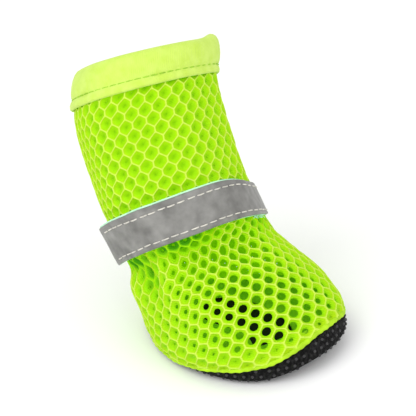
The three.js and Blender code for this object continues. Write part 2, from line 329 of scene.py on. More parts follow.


# %% [markdown]
# ## Neon yarn and binding
# The neon is a dye that turns some of the daylight into light of its own colour. A plain
# colour could never look so bright, so both finishes get a faint emission, a painted glow
# that stands in for that light. In the mesh, colour and glow follow how deep a point lies
# in its hole, as painted light and shade: the ribs are painted pale, as a highlight, the
# sides of the holes a saturated green, as painted shade, with a painted glow inside the
# holes, and the folds under the strap are painted darkest, as painted shade. Each point of
# the mesh carries that painted shade as an attribute, which a texture would only have to
# imitate.

# %% The neon mesh and the binding
def mesh_finish():
    """Neon yarn with painted light and shade: palest on the ribs as a painted highlight, deeper
    green down the sides of the holes as painted shade.
    """
    material, tree, shader = new_material("neon mesh", (0.5, 0.95, 0.03), 0.7)
    # painted shade for each point: how deep it lies in its hole, and the folds under the strap
    depth = tree.nodes.new("ShaderNodeAttribute")
    depth.attribute_name = "painted_shade"
    color = ramp(tree, depth.outputs["Fac"],
                 [(0.0, (0.54, 0.72, 0.085)), (0.24, (0.37, 0.61, 0.002)),
                  (0.6, (0.25, 0.55, 0.0)), (1.0, (0.05, 0.26, 0.0))])
    tree.links.new(color, shader.inputs["Base Color"])
    shader.inputs["Specular IOR Level"].default_value = 0.12
    # painted glow, brightest inside the holes, standing in for light that comes through the cloth
    painted_glow = ramp(tree, depth.outputs["Fac"],
                [(0.24, (0.03, 0.06, 0.0)), (0.6, (0.08, 0.23, 0.0)), (1.0, (0.01, 0.08, 0.0))])
    tree.links.new(painted_glow, shader.inputs["Emission Color"])
    shader.inputs["Emission Strength"].default_value = 1.0
    add_bump(tree, shader, cloth_wave(tree, 0.4, "DIAGONAL"), 0.1)
    add_bump(tree, shader, object_noise(tree, 2600, 2.0), 0.1)
    return material


def binding_finish():
    """Soft stretch knit: paler than the mesh, with fine ribs across the tape."""
    material, tree, shader = new_material("binding knit", (0.46, 0.65, 0.08), 0.8)
    color = ramp(tree, object_noise(tree, 260, 6.0),
                 [(0.35, (0.46, 0.63, 0.07)), (0.65, (0.52, 0.68, 0.115))])
    tree.links.new(color, shader.inputs["Base Color"])
    shader.inputs["Sheen Weight"].default_value = 0.15
    shader.inputs["Sheen Roughness"].default_value = 0.5
    # a faint painted glow, standing in for the fluorescence of the neon dye
    shader.inputs["Emission Color"].default_value = (0.5, 0.95, 0.05, 1)
    shader.inputs["Emission Strength"].default_value = 0.08
    add_bump(tree, shader, cloth_wave(tree, 0.7), 0.08)
    add_bump(tree, shader, object_noise(tree, 900, 3.0), 0.1)
    return material


# %% [markdown]
# ## Tape, thread and sole
# The reflective tape is grey cloth under a skin of tiny glass beads. Seen in even light it
# is a dull satin grey with cloudy patches, so noise sets its tone. Threads, linings and
# rubber are plain dyes with a fine grain, and one function makes them all. The sole's
# black cloth is two sets of crossed ribs, bumped in from its UV map.

# %% The tape, the threads and the sole's cloth
def tape_finish():
    """Reflective tape: a grey satin face of fine glass beads, a little mottled."""
    material, tree, shader = new_material("reflective tape", (0.165, 0.162, 0.152), 0.4)
    color = ramp(tree, object_noise(tree, 170, 8.0),
                 [(0.3, (0.11, 0.108, 0.1)), (0.72, (0.26, 0.256, 0.242))])
    tree.links.new(color, shader.inputs["Base Color"])
    shader.inputs["Specular IOR Level"].default_value = 0.5
    add_bump(tree, shader, object_noise(tree, 260, 4.0), 0.15)
    add_bump(tree, shader, cloth_wave(tree, 0.5), 0.03)
    return material


def plain_finish(name, color, roughness, grain_per_metre, grain_mm):
    """Yarn or felt of one dye, with a fine grain and a little change of tone."""
    material, tree, shader = new_material(name, color, roughness)
    dark, light = np.array(color) * 0.8, np.minimum(np.array(color) * 1.15, 1)
    patches = object_noise(tree, grain_per_metre / 4)
    tone = ramp(tree, patches, [(0.3, tuple(dark)), (0.7, tuple(light))])
    tree.links.new(tone, shader.inputs["Base Color"])
    add_bump(tree, shader, object_noise(tree, grain_per_metre), grain_mm)
    return material


def sole_finish():
    """Black coarse cloth: crossed ribs of thick yarn."""
    material, tree, shader = new_material("grip fabric", (0.012, 0.012, 0.012), 0.9)
    shader.inputs["Specular IOR Level"].default_value = 0.15
    color = ramp(tree, object_noise(tree, 900, 3.0),
                 [(0.4, (0.004, 0.004, 0.004)), (0.72, (0.03, 0.03, 0.029))])
    tree.links.new(color, shader.inputs["Base Color"])
    add_bump(tree, shader, cloth_wave(tree, 1.1, "X"), 0.25)
    add_bump(tree, shader, cloth_wave(tree, 1.1, "Y"), 0.25)
    return material


NEON_MESH = mesh_finish()
NEON_MESH_BACK = plain_finish("turned-in mesh", (0.33, 0.64, 0.01), 0.8, 900, 0.25)
HEM_YARN = plain_finish("hem yarn", (0.4, 0.68, 0.01), 0.8, 900, 0.2)
BINDING_KNIT = binding_finish()
TAPE = tape_finish()
LINING = plain_finish("mint hook lining", (0.5, 0.86, 0.6), 0.85, 1500, 0.1)
THREAD = plain_finish("pale thread", (0.6, 0.58, 0.52), 0.7, 2500, 0.04)
NEON_THREAD = plain_finish("neon thread", (0.3, 0.55, 0.03), 0.7, 2500, 0.04)
GRIP_FABRIC = sole_finish()
GRIP_RUBBER = plain_finish("rubber dots", (0.035, 0.034, 0.035), 0.45, 1200, 0.03)
INNER_CLOTH = plain_finish("inner cloth", (0.006, 0.006, 0.006), 0.9, 1500, 0.08)
print("materials:", len(bpy.data.materials))

# %% [markdown]
# ## The honeycomb mesh
# The upper is a knitted mesh about 1.4 mm thick, with a hexagonal hole every 5 mm round
# the boot. The holes could be painted on, but then nothing could be seen through them,
# so they are cut for real. Each cell is a stack of rings: a hexagon on the crest of the
# ribs, then rings that slope into the hole, go through the cloth, and spread to the same
# hexagon on the inside. Neighbours share their hexagon's points, so the cells weld into
# one closed sheet with a hole in each.

# %% The cell
COLUMNS = 32
PITCH = 5.0          # mm of cloth from hole to hole round the boot
ROW_PITCH = 3.4      # mm from line to line
WALL = 1.4
EDGE_STEPS = 3       # points along one side of the hexagon
CORNER = (ROW_PITCH ** 2 - PITCH ** 2 / 4) / (2 * ROW_PITCH)


def hexagon():
    """Points round the hexagon that lies midway between a hole and its six neighbours."""
    corners = np.array([[PITCH / 2, -CORNER], [PITCH / 2, CORNER], [0, ROW_PITCH - CORNER],
                        [-PITCH / 2, CORNER], [-PITCH / 2, -CORNER], [0, CORNER - ROW_PITCH]])
    share = np.arange(EDGE_STEPS)[:, None] / EDGE_STEPS
    ahead = np.roll(corners, -1, 0)
    return np.concatenate([a + (b - a) * share for a, b in zip(corners, ahead)])


# share of the way from the hexagon to the hole, offset in mm, and painted shade for the colour,
# deeper down the hole
RIB_PROFILE = np.array([
    [0.0, 0.35, 0.0], [0.22, 0.3, 0.04], [0.38, 0.05, 0.35], [0.7, -0.2, 0.6],
    [0.95, -0.45, 0.8], [1.0, -0.8, 0.9], [0.85, -1.25, 1.0], [0.0, -WALL, 1.0]])
OUTER_HOLE = 1.6     # radius in mm at the face
INNER_FROM = -0.6    # offset below which a ring has its cell's inner radius instead
HOLE_SHAPE = [1.05, 0.95]      # holes are a little wider than tall


def cells(inner_hole):
    """Rings of the cells as (cells, rings, points, 2) of cloth x and y round each middle."""
    outline = hexagon()
    heading = outline / np.linalg.norm(outline, axis=1, keepdims=True)
    deep = RIB_PROFILE[:, 1] < INNER_FROM
    radius = np.where(deep[None], inner_hole[:, None], OUTER_HOLE)
    hole = heading * radius[:, :, None, None] * HOLE_SHAPE
    return outline + (hole - outline) * RIB_PROFILE[:, 0][:, None, None]


print("one cell has", RIB_PROFILE.shape[0] * len(hexagon()), "points")

# %% [markdown]
# ## Laying the cloth on the last
# A cell keeps its size wherever it lies, so lines of holes are spaced by real length up
# each meridian of the last, measured from the middle of the strap. That is why they climb
# towards the toe, where the way down is longest. Two small corrections follow the way this
# cloth was pulled: in the foot its columns crowd to the front and its lines tilt, and in
# the shaft the whole tube is twisted a little.

# %% From cloth to last
ANGLE_STEP, HEIGHT_STEP = 3.0, 0.5
TABLE_ANGLES = np.arange(-180.0, 181.0, ANGLE_STEP)
TABLE_HEIGHTS = np.arange(-80.0, 80.0, HEIGHT_STEP)
STRAP_MIDDLE = 4.945                     # row
FOOT_FROM, FOOT_BLEND = -8.0, 3.0        # mm up the cloth: where the foot's pull begins
CROWDING, TILT, PULLED_FROM = 5.7, 6.0, 50.0     # degrees, mm, degrees
TWIST = 0.4                              # degrees for each mm up the shaft


def meridian_rows():
    """Row against height above the strap's middle, one line of a table for each angle."""
    rows = np.linspace(-1.6, RIM_ROW, 300)
    angle, row = np.meshgrid(TABLE_ANGLES, rows, indexing="ij")
    steps = np.linalg.norm(np.diff(last_face(angle, row), axis=1), axis=-1)
    length = np.concatenate([np.zeros((len(TABLE_ANGLES), 1)), np.cumsum(steps, 1)], 1)
    length -= np.array([[np.interp(STRAP_MIDDLE, rows, line)] for line in length])
    near = np.arange(-4, 5)
    weight = np.exp(-((near / 2.5) ** 2))
    smooth = sum(w * np.roll(length[:-1], n, 0) for w, n in zip(weight / weight.sum(), near))
    smooth = np.concatenate([smooth, smooth[:1]])
    return np.array([np.interp(TABLE_HEIGHTS, line, rows) for line in smooth])


ROW_TABLE = meridian_rows()


def lay(x, y):
    """Angle and row of cloth points x, y mm: x sets the angle, y the height up a meridian.

    With turn = x * 360 / girth, lean = sin(turn + 50) and a foot share that goes from 0 to
    1 below the strap, the angle is turn - crowding * foot * lean + twist * y, and the height
    is y + tilt * foot * lean. The row is then a mix of the table's four nearest.
    """
    turn = x * 360 / (PITCH * COLUMNS)
    foot = 1 / (1 + np.exp((y - FOOT_FROM) / FOOT_BLEND))
    lean = np.sin(np.radians(turn + PULLED_FROM))
    angle = turn - CROWDING * foot * lean + TWIST * np.maximum(y, 0)
    height = y + TILT * foot * lean
    i = (angle + 180) % 360 / ANGLE_STEP
    j = np.clip((height - TABLE_HEIGHTS[0]) / HEIGHT_STEP, 0, len(TABLE_HEIGHTS) - 2)
    i0, j0 = i.astype(int), j.astype(int)
    s, t = i - i0, j - j0
    low = ROW_TABLE[i0, j0] * (1 - s) + ROW_TABLE[i0 + 1, j0] * s
    high = ROW_TABLE[i0, j0 + 1] * (1 - s) + ROW_TABLE[i0 + 1, j0 + 1] * s
    return angle, low * (1 - t) + high * t


below = lay(np.zeros(1), -20.0)[1]
print("20 mm below the strap's middle, in front, is row", round(float(below[0]), 2))

# %% [markdown]
# ## Trim lines and painted fold shade
# At the sole the cloth is trimmed along the seam, which climbs the toe, and on the right
# side it hangs a little over the sole. At the top it ends inside the binding. A cut
# through cells would be ragged, so whole cells are kept as far as they reach past a line,
# and what lies past it is squashed to almost nothing, where the hem and the binding hide
# it. The ribs lie flatter along the seam. The holes are stretched wide open over the vamp
# and drawn nearly shut elsewhere. In the folds under the strap the mesh gets painted shade.

# %% Trim lines
SEAM_LEAST, SEAM_RISE, SEAM_ANGLE, SEAM_WIDTH = 0.08, 0.8, -2.0, 34.0
TOP_TRIM = 7.75
SQUASH = 0.04                           # what is left of a row past a trim line
HANG_ANGLE, HANG_WIDTH, HANG_ROWS = -112.0, 36.0, 0.45


def seam_row(angle):
    """How far up the rows the sole reaches: a small margin plus a bell at the toe."""
    return SEAM_LEAST + SEAM_RISE * bell(angle, SEAM_ANGLE, SEAM_WIDTH)


def hang(angle):
    """Where the mesh hangs outside the sole: a bell on the right side of the heel."""
    return bell(angle, HANG_ANGLE, HANG_WIDTH)


def low_trim(angle):
    """Row of the cut edge: just over the seam, lower where the mesh overhangs."""
    return seam_row(angle) + 0.1 - HANG_ROWS * hang(angle)


def cut(angle, row):
    """Rows as they are between the trim lines; past a line, squash * the way past it."""
    low = low_trim(angle)
    past = np.minimum(row - low, 0) + np.maximum(row - TOP_TRIM, 0)
    return np.clip(row, low, TOP_TRIM) + SQUASH * past


def overhang(angle, row):
    """Push in mm off the last where the mesh hangs outside the sole: hang times 0 to 1,
    growing over 0.3 of a row down to 0.05 below the seam."""
    return np.clip((seam_row(angle) + 0.25 - row) / 0.3, 0, 1) * hang(angle)


def step_up(value, middle, width):
    """Smooth step from 0 to 1 about a middle: 1 / (1 + exp(-(value - middle) / width))."""
    return 1 / (1 + np.exp(-(value - middle) / width))


def inner_radius(angle, row):
    """Inner hole radius in mm: 1.43 over the vamp, and 0.11 on the shaft, heel and seam.

    The vamp is a bell in angle, times a step up at row 1.35 and a step down at row 4.5.
    """
    vamp = bell(angle, -24.0, 54.0) * step_up(row, 1.35, 0.1) * step_up(-row, -4.5, 0.12)
    return 0.11 + 1.32 * vamp


# painted shade in the folds where the strap gathers the mesh, a deeper green for the hollows in
# shade:
# angle, row, share of the deepest painted shade, half width in degrees, half height in rows
PAINTED_FOLD_SHADE = np.array([
    [-118.0, 4.3, 1.3, 18.0, 0.35],
    [-58.0, 4.4, 1.1, 26.0, 0.22],
    [-101.0, 3.6, 0.7, 8.0, 0.5],
    [20.0, 4.3, 0.5, 20.0, 0.25],
])


def relief(angle, row):
    """How deep the ribs stand, 0.3 along the seam and 1 from 0.6 of a row above it."""
    return 0.3 + 0.7 * np.clip((row - low_trim(angle)) / 0.6, 0, 1)


print("the seam climbs to row", round(float(seam_row(SEAM_ANGLE)), 2), "at the toe")

# %% [markdown]
# ## Setting out the cells
# On the flat cloth the cells stand in lines, every other line shifted by half a cell.
# Neighbours share the points of their hexagons, and those are welded, so that the mesh is
# one sheet and not thousands of loose cells. Blender can merge by distance, but numpy's
# unique finds equal points of the whole flat cloth at once. Where a cell has no neighbour,
# a quad closes the gap between its outer and its inner hexagon.

# %% Cells in lines, welded
FIRST_X, FIRST_Y = 0.3, 0.1      # where the pattern starts, in cells and in lines
KEEP_PAST = 0.45                 # rows past the lower trim line at which a cell is left out
FOOT_LINES, SHAFT_LINES = (-22, 0), (0, 20)


def set_out(first_line, last_line):
    """Flat x and y of the kept cells between two lines, as (cells, rings, points) arrays."""
    lines = np.arange(first_line, last_line)
    line, column = (a.ravel() for a in np.meshgrid(lines, np.arange(COLUMNS), indexing="ij"))
    x = (column + 0.5 * (line % 2) + FIRST_X) * PITCH
    y = (line + FIRST_Y) * ROW_PITCH
    angle, row = lay(x, y)
    keep = (row > low_trim(angle) - KEEP_PAST) & (row < TOP_TRIM - 0.1)
    flat = np.stack([x, y], -1)[keep, None, None] + cells(inner_radius(angle, row)[keep])
    return flat[..., 0], flat[..., 1]


def weld(x, y, offset):
    """First index of each distinct point, and every point's number among those.

    Two points are one where x, wrapped round the girth, y and offset agree to 0.01 mm.
    """
    girth = int(PITCH * COLUMNS * 100)
    key = np.stack([np.round(x * 100) % girth, np.round(y * 100), np.round(offset * 100)], -1)
    _, first, number = np.unique(key.reshape(-1, 3).astype(int), axis=0,
                                 return_index=True, return_inverse=True)
    return first, number.reshape(x.shape)


def gap_walls(number):
    """Quads from the outer to the inner hexagon, on each side that only one cell has."""
    crest = np.stack([number[:, 0], np.roll(number[:, 0], -1, 1)], -1).reshape(-1, 2)
    inner = np.stack([number[:, -1], np.roll(number[:, -1], -1, 1)], -1).reshape(-1, 2)
    _, same, count = np.unique(np.sort(crest, 1), axis=0,
                               return_inverse=True, return_counts=True)
    lone = count[same.ravel()] == 1
    return np.concatenate([crest[lone][:, ::-1], inner[lone]], 1)


print("cells of the foot and the shaft:", [len(set_out(*s)[0]) for s in (FOOT_LINES, SHAFT_LINES)])

# %% [markdown]
# ## Knitting
# The welded cells are laid on the last, cut at the trim lines and raised to their relief.
# The cloth's own x and y make the UV map, and the painted shade, from the depth in the
# hole and the folds under the strap, goes into the attribute that the finish reads. Foot
# and shaft are two pieces that meet under the strap, because together they would be too
# heavy for one mesh.

# %% The two sheets of mesh
# painted shade: how much of the finish's darkest colours the inside of a hole gets
DEEPEST_PAINTED_SHADE = 0.6      # where the inside of a hole lies on the finish's colours


def knit(name, first_line, last_line):
    """A closed sheet of welded cells between two lines, counted up from the strap's middle."""
    x, y = set_out(first_line, last_line)
    offset = np.broadcast_to(RIB_PROFILE[:, 1][:, None], x.shape)
    first, number = weld(x, y, offset)
    angle, row = lay(x, y)
    row = cut(angle, row)
    height = relief(angle, row)
    raised = offset * np.where(offset > -1.0, height, 1.0) + overhang(angle, row)
    points = off_last(angle, row, raised).reshape(-1, 3)[first]
    pairs = grid_faces(x.shape[1], x.shape[2])
    ring, side = pairs[..., 0], pairs[..., 1] % x.shape[2]
    faces, walls = number[:, ring, side].reshape(-1, 4), gap_walls(number)
    uv = np.stack([x[:, ring, side], y[:, ring, side]], -1).reshape(-1, 4, 2)
    uv = np.concatenate([uv, np.zeros((len(walls), 4, 2))])
    piece = add_mesh(name, points, np.concatenate([faces, walls]).tolist(), uv)
    # painted shade: darker down each hole, less where the ribs lie flat, darkest in the folds
    # under the strap
    shade = DEEPEST_PAINTED_SHADE * (RIB_PROFILE[:, 2][:, None] * height + bells(PAINTED_FOLD_SHADE, angle, row))
    attribute = piece.data.attributes.new("painted_shade", "FLOAT", "POINT")
    attribute.data.foreach_set("value", shade.reshape(-1)[first].astype(np.float32))
    return piece


foot_mesh = knit("foot_mesh", *FOOT_LINES)
shaft_mesh = knit("shaft_mesh", *SHAFT_LINES)
finish_piece(foot_mesh, NEON_MESH, "upper")
finish_piece(shaft_mesh, NEON_MESH, "upper")

# %% [markdown]
# ## The seam allowance
# The lower edge of the mesh is turned in and lies on the inner sole as a wide neon band,
# so the black pad shows only through the holes over the toes. One closed profile does it:
# down the inside of the mesh, across the pad to an uneven oval edge, and back just below.
# It could be a sheet with a Solidify modifier, but a closed loop of rings gives the same
# wall and lets each ring have an outline of its own.

# %% The turned-in band
SOLE_WALL = 1.6
GAP = 0.3
INNER_LOW, INNER_HIGH = SOLE_WALL + GAP, SOLE_WALL + GAP + 1.2
INNER_EGG = (3.4, -0.4, 31.0, 23.2, 0.18)      # middle x, y, half length, half width, egg
CURL_START, CURL_LENGTH, CURL_LIFT = 24.0, 12.0, 4.0      # along x, then up
AROUND = np.arange(0, 360, 2.5)


def toe_curl(x):
    """Rise of the sole at the toe: lift times the square of (x - start) / length."""
    return CURL_LIFT * np.maximum((x - CURL_START) / CURL_LENGTH, 0) ** 2


def egg(outline, height, share=1.0):
    """Ring of an egg: x = length cos(a), y = width sin(a) (1 + egg cos(a)), curled up."""
    x, y, length, width, broad = outline
    turn = np.radians(AROUND)
    x = x + share * length * np.cos(turn)
    y = y + share * width * np.sin(turn) * (1 + broad * np.cos(turn))
    return np.stack([x, y, height + toe_curl(x)], -1)


OPENING_X, OPENING_Y, OPENING_LENGTH = 1.5, 2.8, 19.4
OPENING_LEFT, OPENING_RIGHT, OPENING_EGG = 9.6, 7.2, -0.25
BULGE, BULGE_ANGLE, BULGE_WIDTH = 8.0, -42.0, 22.0


def opening(height, share=1.0):
    """Ring of the band's inner edge: an egg, wider on the left, with a bulge at the right
    front, where a bell in angle is taken off y."""
    turn = np.radians(AROUND)
    wide = np.where(np.sin(turn) > 0, OPENING_LEFT, OPENING_RIGHT) * np.sin(turn)
    wide = wide * (1 + OPENING_EGG * np.cos(turn))
    x = OPENING_X + share * OPENING_LENGTH * np.cos(turn)
    y = OPENING_Y + share * (wide - BULGE * bell(AROUND, BULGE_ANGLE, BULGE_WIDTH))
    return np.stack([x, y, height + toe_curl(x)], -1)


def inside_ring(rows_up, offset):
    """Ring inside the mesh, some rows above the seam."""
    return off_last(AROUND, seam_row(AROUND) + rows_up, np.full(len(AROUND), offset))


BAND = 0.7            # thickness of the turned-in cloth
MESH_INSIDE = -1.7    # offset in mm of its outer side, just inside the mesh
low = INNER_HIGH + 0.15
high = INNER_HIGH + 0.15 + BAND
band_rings = np.array([
    inside_ring(0.1, MESH_INSIDE),
    inside_ring(0.55, MESH_INSIDE),
    inside_ring(0.6, MESH_INSIDE - BAND / 2),
    inside_ring(0.55, MESH_INSIDE - BAND),
    inside_ring(0.15, -2.3 - BAND),
    egg(INNER_EGG, high + 0.4, 0.93),
    egg(INNER_EGG, high, 0.85),
    opening(high, 1.04),
    opening((low + high) / 2),
    opening(low, 1.04),
    egg(INNER_EGG, low, 0.85),
    egg(INNER_EGG, low + 0.3, 0.97),
])
seam_band = add_grid("seam_band", band_rings, (165.0, 40.0), rows_close=True)
finish_piece(seam_band, NEON_MESH_BACK)

# %% [markdown]
# ## The hem
# Outside, a thin roll of the same cloth hides the cut edge where the mesh meets the sole.
# A roll is a circle carried round the trim line. A curve object with a round bevel would
# do, but here the circle is worked out in rows and offsets, so the roll stays half sunk
# in the edge all round. Two sines of different pace make it a little lumpy, as sewn.

# %% The rolled hem
HEM_ROWS, HEM_RADIUS, HEM_SUNK = 0.13, 0.85, -0.5      # half height in rows, then mm
hem_angle = np.arange(0, 360, 1.0)
hem_turn = np.radians(np.arange(0, 360, 30.0))[:, None]
bumps = 1 + 0.12 * np.sin(np.radians(hem_angle * 72))
bumps = bumps + 0.1 * np.sin(np.radians(hem_angle * 17 + 40))
hem_row = low_trim(hem_angle) + 0.02 + (HEM_ROWS * bumps) * np.sin(hem_turn)
hem_offset = HEM_SUNK + HEM_RADIUS * bumps * np.cos(hem_turn) + overhang(hem_angle, hem_row)
hem_grid = off_last(np.broadcast_to(hem_angle, hem_row.shape), hem_row, hem_offset)
hem = add_grid("hem", hem_grid, (165.0, 5.0), rows_close=True)
finish_piece(hem, HEM_YARN)

# %% [markdown]
# ## The binding
# A soft stretch tape is folded over the rim and sewn through, a few millimetres above its
# lower edge, so it puffs above the stitches and flares below them. Its profile is a short
# closed loop: up the outside, over the rim, down the inside and back along the mesh. A
# cloth simulation of the fold would puff by itself, but the loop is lighter and exact. A
# few slow waves round the boot keep it from looking turned on a lathe.

# %% The folded tape
STITCH_ROW = 7.4
# rows and offsets in mm round the tape's section
BINDING_PROFILE = [
    (7.24, 0.35), (7.22, 0.9), (7.24, 1.5), (7.3, 1.72), (7.36, 1.5), (7.4, 1.1),     # flare
    (7.44, 1.5), (7.52, 1.95), (7.64, 2.2), (7.76, 2.15), (7.87, 1.8), (7.94, 1.2),   # puff
    (7.985, 0.3), (8.0, -0.7), (7.985, -1.6), (7.94, -2.3), (7.85, -2.7),             # rim
    (7.6, -2.8), (7.44, -2.6), (7.4, -2.3), (7.36, -2.6), (7.3, -2.5), (7.27, -2.1),  # inside
    (7.3, -1.7), (7.6, -1.7), (7.9, -1.7), (7.9, 0.35), (7.6, 0.35),                  # mesh
]


def binding_ripple(angle, row):
    """Slow swells along the tape, and tight puckers close to the line of stitches."""
    turn = np.radians(angle)
    swell = 0.12 * np.sin(5 * turn + 1) + 0.08 * np.sin(11 * turn + 4 * row)
    pucker = 0.1 * np.sin(53 * turn) * np.exp(-((row - STITCH_ROW - 0.02) / 0.1) ** 2)
    return swell + pucker


def peak(angle, row):
    """Rise in mm of the rim over the folded front edge: a bell times a step up at row 7.7."""
    return 1.7 * bell(angle, 38.0, 15.0) * step_up(row, 7.7, 0.08)


def hoop(name, profile, ripple):
    """A closed (row, offset) profile carried round the boot; ripple adds to the offsets."""
    row, offset = (np.array(profile)[:, i][:, None] for i in (0, 1))
    angle, row = np.broadcast_arrays(np.arange(0, 360, 1.25)[None, :], row)
    points = off_last(angle, row, offset + ripple(angle, row))
    points[..., 2] += peak(angle, row)
    return add_grid(name, points, (165.0, 40.0), rows_close=True)


binding = hoop("binding", BINDING_PROFILE, binding_ripple)
finish_piece(binding, BINDING_KNIT, "collar_binding")

# %% [markdown]
# ## Stitches
# A stitch is a short length of thread that dips into the cloth at both ends. One function
# makes a whole line of them as one joined mesh: it wants the middles of the stitches, the
# way each one runs and the way out of the cloth, and bends a small tube over each place.
# One curve object for each stitch would be easier to edit, but there are hundreds.

# %% Lines of stitches
STITCH_SIDES = 6


def add_stitches(name, middles, heading, outward, length, radius):
    """Short tubes of five rings along the heading, bowed outwards, as one joined mesh.

    Along a stitch t runs from -1 to 1. The centre line is heading * t * length / 2 plus
    outward * radius * (0.7 - t^2), and the thread thins to 0.4 of its radius at the ends.
    """
    t = np.array([-1.0, -0.8, 0.0, 0.8, 1.0])
    thin = np.array([0.4, 0.85, 1.0, 0.85, 0.4])
    turn = np.radians(np.arange(0, 360, 360 / STITCH_SIDES))
    heading = heading / np.linalg.norm(heading, axis=-1, keepdims=True)
    outward = outward / np.linalg.norm(outward, axis=-1, keepdims=True)
    side = np.cross(heading, outward)
    centre = middles[:, None] + heading[:, None] * (t * length / 2)[:, None]
    centre = centre + outward[:, None] * (radius * (1 - t ** 2) - radius * 0.3)[:, None]
    cosine, sine = np.cos(turn)[:, None], np.sin(turn)[:, None]
    circle = outward[:, None, None] * cosine + side[:, None, None] * sine
    points = centre[:, :, None] + circle * (radius * thin)[:, None, None]
    pairs = grid_faces(len(t), STITCH_SIDES)
    one = pairs[..., 0] * STITCH_SIDES + pairs[..., 1] % STITCH_SIDES
    start = np.arange(len(middles))[:, None] * len(t) * STITCH_SIDES
    faces = (one[None] + start[..., None]).reshape(-1, 4).tolist()
    near_end = np.arange(STITCH_SIDES)[::-1]
    far_end = (len(t) - 1) * STITCH_SIDES + near_end[::-1]
    faces += (near_end + start).tolist() + (far_end + start).tolist()
    return add_mesh(name, points.reshape(-1, 3), faces)


BINDING_STITCHES = 54      # one every 3 mm or so


def binding_stitches(name, offset, side):
    """A line of stitches round the boot in the pinch of the binding, on one side of it."""
    angle = np.arange(0, 360, 360 / BINDING_STITCHES)
    row = np.full(len(angle), STITCH_ROW)
    middles = off_last(angle, row, np.full(len(angle), offset))
    heading = last_face(angle + 1, row) - last_face(angle - 1, row)
    return add_stitches(name, middles, heading, last_normal(angle, row) * side, 2.3, 0.2)


outer_line = binding_stitches("binding_stitches_outside", 1.15, 1)
inner_line = binding_stitches("binding_stitches_inside", -2.35, -1)
finish_piece(outer_line, NEON_THREAD)
finish_piece(inner_line, NEON_THREAD)

# %% [markdown]
# ## The strap
# A reflective tape is sewn onto a mint hook tape and wound clockwise round the ankle. It
# climbs over its own start and ends in a free, square-cut tail past the heel. A curve
# with a bevel profile would twist on its way round, so it's a profile swept by a function
# of its own: each section lies on the last, at a lift that grows where the strap climbs.

# %% The winding
STRAP_ROWS = (4.43, 5.47)      # lower and upper edge
HIGH_ANGLE, RISE = -50.0, 0.15
DIP_ANGLE, DIP_WIDTH = 40.0, 30.0
LOWER_DIP, UPPER_DIP = 0.1, 0.24
START_ANGLE, LEAVES_AT = -60.0, 400.0
CLIMB = (296.0, 350.0)         # degrees of winding over which it climbs its first layer
STRAP_WALL = 1.2


def on_boot(winding, share, offset):
    """Points of the strap after some degrees of winding, share of its width and offset.

    The angle runs down from the start. The row rises and falls with a cosine and dips by
    a bell over the instep. The lift is the gap, plus a smooth step of one strap and one
    more gap where the strap climbs over its start.
    """
    angle = START_ANGLE - winding
    climb = np.clip((winding - CLIMB[0]) / (CLIMB[1] - CLIMB[0]), 0, 1)
    lift = GAP + climb ** 2 * (3 - 2 * climb) * (STRAP_WALL + GAP + 0.1)
    row = STRAP_ROWS[0] + (STRAP_ROWS[1] - STRAP_ROWS[0]) * share
    row = row + RISE * np.cos(np.radians(angle - HIGH_ANGLE))
    dip = LOWER_DIP + (UPPER_DIP - LOWER_DIP) * share
    row = row - bell(angle, DIP_ANGLE, DIP_WIDTH) * dip
    return off_last(angle, row, lift + offset)


# %% [markdown]
# ## The tail
# Past the point where it leaves the boot, the strap runs straight on along its own
# direction, as a stiff tape does, and bends slowly inwards and down. The tail is made by
# the same function of winding as the rest, so tape, lining and stitches all follow it.

# %% Leaving the boot
TAIL, TAIL_RADIUS = 10.5, 60.0
TAIL_MM_PER_DEGREE = 0.45
last_two = np.array([LEAVES_AT - 1, LEAVES_AT])
leaving = on_boot(last_two, np.full(2, 0.5), np.full(2, STRAP_WALL))
TAIL_AHEAD = (leaving[1] - leaving[0]) / np.linalg.norm(leaving[1] - leaving[0])
TAIL_OUT = last_normal(START_ANGLE - LEAVES_AT, STRAP_ROWS[0] + 0.5)
STRAP_END = LEAVES_AT + TAIL / TAIL_MM_PER_DEGREE


def wound(winding, share, offset):
    """Points of the strap with its tail: a point past LEAVES_AT keeps its section's place,
    goes on ahead by its run, and falls inwards and down by run^2 / (2 * radius)."""
    points = on_boot(np.minimum(winding, LEAVES_AT), share, offset)
    run = (np.maximum(winding - LEAVES_AT, 0) * TAIL_MM_PER_DEGREE)[..., None]
    return points + TAIL_AHEAD * run - (TAIL_OUT + [0, 0, 1]) * run ** 2 / (2 * TAIL_RADIUS)


print("strap turns", round(STRAP_END), "degrees, tail", TAIL, "mm")

# %% [markdown]
# ## Tape and lining
# The two layers share one sweep. The tape's face is pinched a little along its two lines
# of stitches and crinkled across, as glued tape gets from bending. The hook lining is a
# little wider, mostly upwards, so it shows as a mint line along the edges.

# %% Two layers
def crinkle(winding, share):
    """Small ridges across the tape: a sum of sines along the winding, skewed by the share."""
    return (0.1 * np.sin(winding * 0.31 + 4 * share) * np.sin(winding * 0.083 + 1)
            + 0.06 * np.sin(winding * 0.9 - 7 * share) * np.sin(winding * 0.052))


def strap_layer(name, profile, crinkled):
    """A closed (share, offset) profile swept along the winding, capped at both ends."""
    share, offset = (np.array(profile)[:, i][None, :] for i in (0, 1))
    winding = np.arange(0, STRAP_END + 0.01, 1.5)[:, None]
    winding, share, offset = np.broadcast_arrays(winding, share, offset)
    narrower = 0.1 * (1 - step_up(winding, 60.0, 6.0))      # the covered first layer
    share = share + narrower * (0.5 - share)
    if crinkled:
        offset = offset + crinkle(winding, share) * (offset > 0.9)
    points = wound(winding, share, offset)
    return add_grid(name, points, (12.0, 195.0), caps=True)


